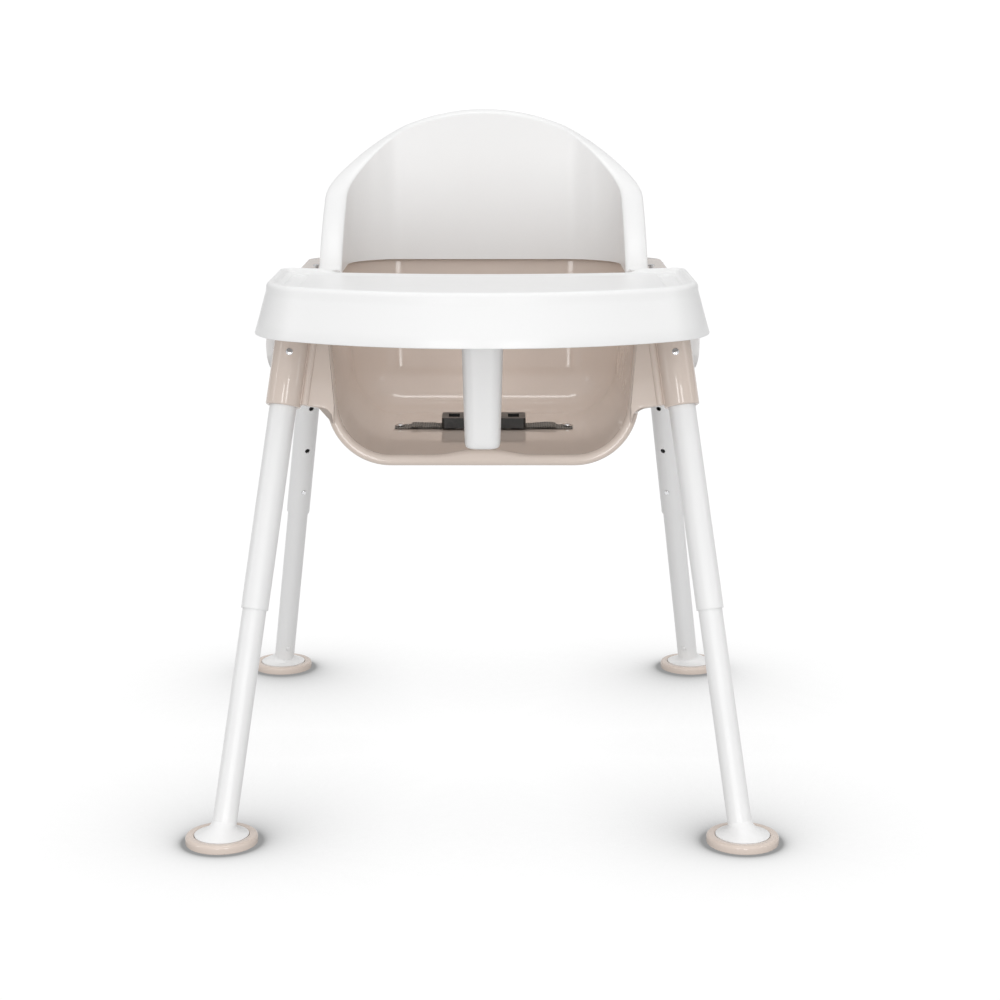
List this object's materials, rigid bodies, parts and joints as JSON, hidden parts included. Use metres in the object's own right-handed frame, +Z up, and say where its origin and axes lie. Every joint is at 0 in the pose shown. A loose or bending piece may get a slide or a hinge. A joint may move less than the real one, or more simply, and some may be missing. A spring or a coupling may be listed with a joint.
{
  "type": "baby high chair",
  "caption": "Low feeding chair: a moulded bucket seat with a tall white back on splayed telescoping legs, with a slide-off tray, a centre post and a lap belt with a side-release buckle.",
  "frame": {"origin": "on the floor under the centre of the four feet", "axes": "+Z up, the child faces -Y, the left side is -X, +X is the narrowest direction"},
  "size_m": [0.5356, 0.6216, 0.64],
  "materials": {
    "taupe_plastic": "glossy moulded plastic in warm taupe",
    "white_plastic": "satin to glossy white moulded plastic",
    "white_enamel": "white powder-coated steel tube",
    "chrome": "bright plated steel",
    "spring_steel": "plain spring steel and zinc-plated hardware",
    "black_plastic": "black moulded plastic",
    "webbing": "dark grey woven webbing"
  },
  "bodies": {
    "chair": {"seat_shell": "taupe_plastic", "seat_back": "white_plastic", "back_screws": "spring_steel", "upper_leg_fl": "white_enamel", "upper_leg_fr": "white_enamel", "upper_leg_rl": "white_enamel", "upper_leg_rr": "white_enamel", "socket_springs": "spring_steel", "belt_strap_left": "webbing", "belt_strap_right": "webbing", "belt_screws": "chrome", "buckle_socket": "black_plastic"},
    "tray": {"tray": "white_plastic", "pommel": "white_plastic", "pommel_screws": "spring_steel", "lever_pins": "spring_steel", "lever_springs": "spring_steel"},
    "lever_left": {"tray_lever_left": "white_plastic"},
    "lever_right": {"tray_lever_right": "white_plastic"},
    "belt_tongue": {"buckle_tongue": "black_plastic"},
    "leg_fl": {"lower_leg_fl": "white_enamel", "foot_fl": "white_plastic", "foot_pad_fl": "taupe_plastic", "height_spring_fl": "spring_steel"},
    "height_catch_fl": {"height_button_fl": "chrome"},
    "socket_catch_fl": {"socket_button_fl": "chrome"},
    "leg_fr": {"lower_leg_fr": "white_enamel", "foot_fr": "white_plastic", "foot_pad_fr": "taupe_plastic", "height_spring_fr": "spring_steel"},
    "height_catch_fr": {"height_button_fr": "chrome"},
    "socket_catch_fr": {"socket_button_fr": "chrome"},
    "leg_rl": {"lower_leg_rl": "white_enamel", "foot_rl": "white_plastic", "foot_pad_rl": "taupe_plastic", "height_spring_rl": "spring_steel"},
    "height_catch_rl": {"height_button_rl": "chrome"},
    "socket_catch_rl": {"socket_button_rl": "chrome"},
    "leg_rr": {"lower_leg_rr": "white_enamel", "foot_rr": "white_plastic", "foot_pad_rr": "taupe_plastic", "height_spring_rr": "spring_steel"},
    "height_catch_rr": {"height_button_rr": "chrome"},
    "socket_catch_rr": {"socket_button_rr": "chrome"}
  },
  "joints": [
    {"name": "tray_slide", "type": "slide", "parent": "chair", "child": "tray", "axis": [0, -1, 0], "range_m": [0, 0.15]},
    {"name": "lever_squeeze_left", "type": "hinge", "parent": "tray", "child": "lever_left", "pos_m": [-0.1935, -0.092, 0.47], "axis": [0, -1, 0], "range_deg": [0, 9], "stiffness_Nm_per_rad": 0.5, "springref_deg": -4.58},
    {"name": "lever_squeeze_right", "type": "hinge", "parent": "tray", "child": "lever_right", "pos_m": [0.1935, -0.092, 0.47], "axis": [0, 1, 0], "range_deg": [0, 9], "stiffness_Nm_per_rad": 0.5, "springref_deg": -4.58},
    {"name": "buckle_release", "type": "slide", "parent": "chair", "child": "belt_tongue", "axis": [1, 0, 0], "range_m": [0, 0.022]},
    {"name": "leg_height_fl", "type": "slide", "parent": "chair", "child": "leg_fl", "axis": [0.1274, 0.3049, 0.9438], "range_m": [0, 0.104], "deforming": ["height_button_fl"]},
    {"name": "height_press_fl", "type": "slide", "parent": "leg_fl", "child": "height_catch_fl", "axis": [-0.364, -0.8708, 0.3304], "range_m": [0, 0.004], "stiffness_N_per_m": 500, "springref_m": -0.003, "deforming": ["height_spring_fl"]},
    {"name": "socket_press_fl", "type": "slide", "parent": "chair", "child": "socket_catch_fl", "axis": [-0.0408, 0.9524, -0.3021], "range_m": [0, 0.0056], "stiffness_N_per_m": 500, "springref_m": -0.003, "deforming": ["socket_springs"]},
    {"name": "leg_height_fr", "type": "slide", "parent": "chair", "child": "leg_fr", "axis": [-0.1274, 0.3049, 0.9438], "range_m": [0, 0.104], "deforming": ["height_button_fr"]},
    {"name": "height_press_fr", "type": "slide", "parent": "leg_fr", "child": "height_catch_fr", "axis": [0.364, -0.8708, 0.3304], "range_m": [0, 0.004], "stiffness_N_per_m": 500, "springref_m": -0.003, "deforming": ["height_spring_fr"]},
    {"name": "socket_press_fr", "type": "slide", "parent": "chair", "child": "socket_catch_fr", "axis": [0.0408, 0.9524, -0.3021], "range_m": [0, 0.0056], "stiffness_N_per_m": 500, "springref_m": -0.003, "deforming": ["socket_springs"]},
    {"name": "leg_height_rl", "type": "slide", "parent": "chair", "child": "leg_rl", "axis": [0.1274, -0.3049, 0.9438], "range_m": [0, 0.104], "deforming": ["height_button_rl"]},
    {"name": "height_press_rl", "type": "slide", "parent": "leg_rl", "child": "height_catch_rl", "axis": [-0.364, 0.8708, 0.3304], "range_m": [0, 0.004], "stiffness_N_per_m": 500, "springref_m": -0.003, "deforming": ["height_spring_rl"]},
    {"name": "socket_press_rl", "type": "slide", "parent": "chair", "child": "socket_catch_rl", "axis": [-0.0408, -0.9524, -0.3021], "range_m": [0, 0.0056], "stiffness_N_per_m": 500, "springref_m": -0.003, "deforming": ["socket_springs"]},
    {"name": "leg_height_rr", "type": "slide", "parent": "chair", "child": "leg_rr", "axis": [-0.1274, -0.3049, 0.9438], "range_m": [0, 0.104], "deforming": ["height_button_rr"]},
    {"name": "height_press_rr", "type": "slide", "parent": "leg_rr", "child": "height_catch_rr", "axis": [0.364, 0.8708, 0.3304], "range_m": [0, 0.004], "stiffness_N_per_m": 500, "springref_m": -0.003, "deforming": ["height_spring_rr"]},
    {"name": "socket_press_rr", "type": "slide", "parent": "chair", "child": "socket_catch_rr", "axis": [0.0408, -0.9524, -0.3021], "range_m": [0, 0.0056], "stiffness_N_per_m": 500, "springref_m": -0.003, "deforming": ["socket_springs"]}
  ]
}
